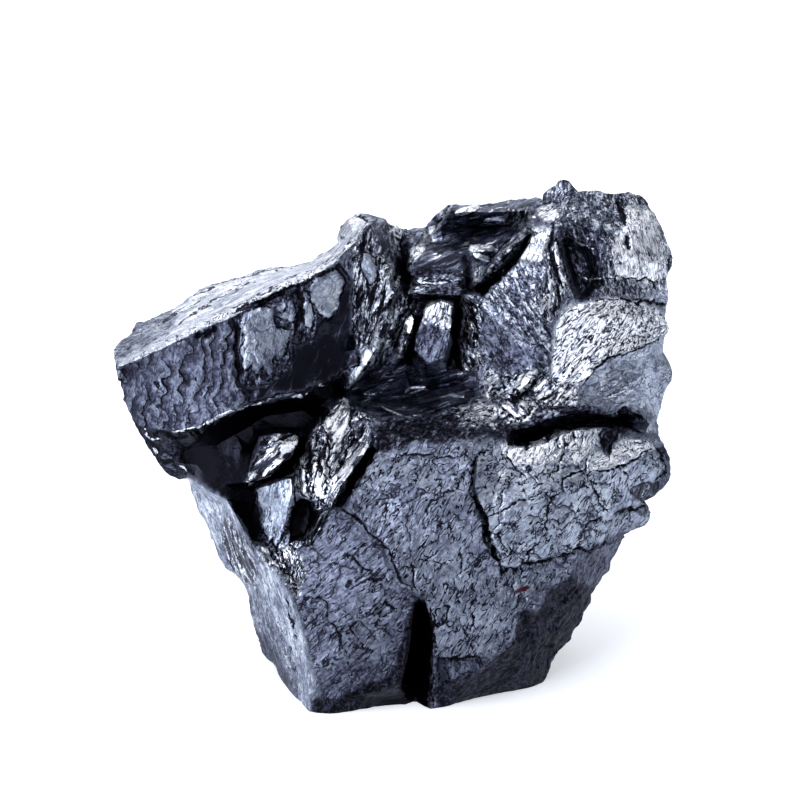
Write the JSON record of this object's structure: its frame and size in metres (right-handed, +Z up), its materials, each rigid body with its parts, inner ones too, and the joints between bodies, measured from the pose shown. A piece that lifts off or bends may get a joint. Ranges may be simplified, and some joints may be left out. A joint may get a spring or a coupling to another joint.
{
  "type": "shungite stone",
  "caption": "Rough, angular lump of noble shungite with glassy black hollows and silky grey broken faces, a natural mineral specimen that stands on a flat foot.",
  "frame": {"origin": "on the floor under the middle of the stone's bounding box", "axes": "+Z up; the stone's broad lower face looks along -Y and its pointed arm reaches towards -X"},
  "size_m": [0.0586, 0.0399, 0.0505],
  "materials": {
    "noble_shungite": "satin"
  },
  "bodies": {
    "root": {"shungite_stone": "noble_shungite"}
  },
  "joints": []
}
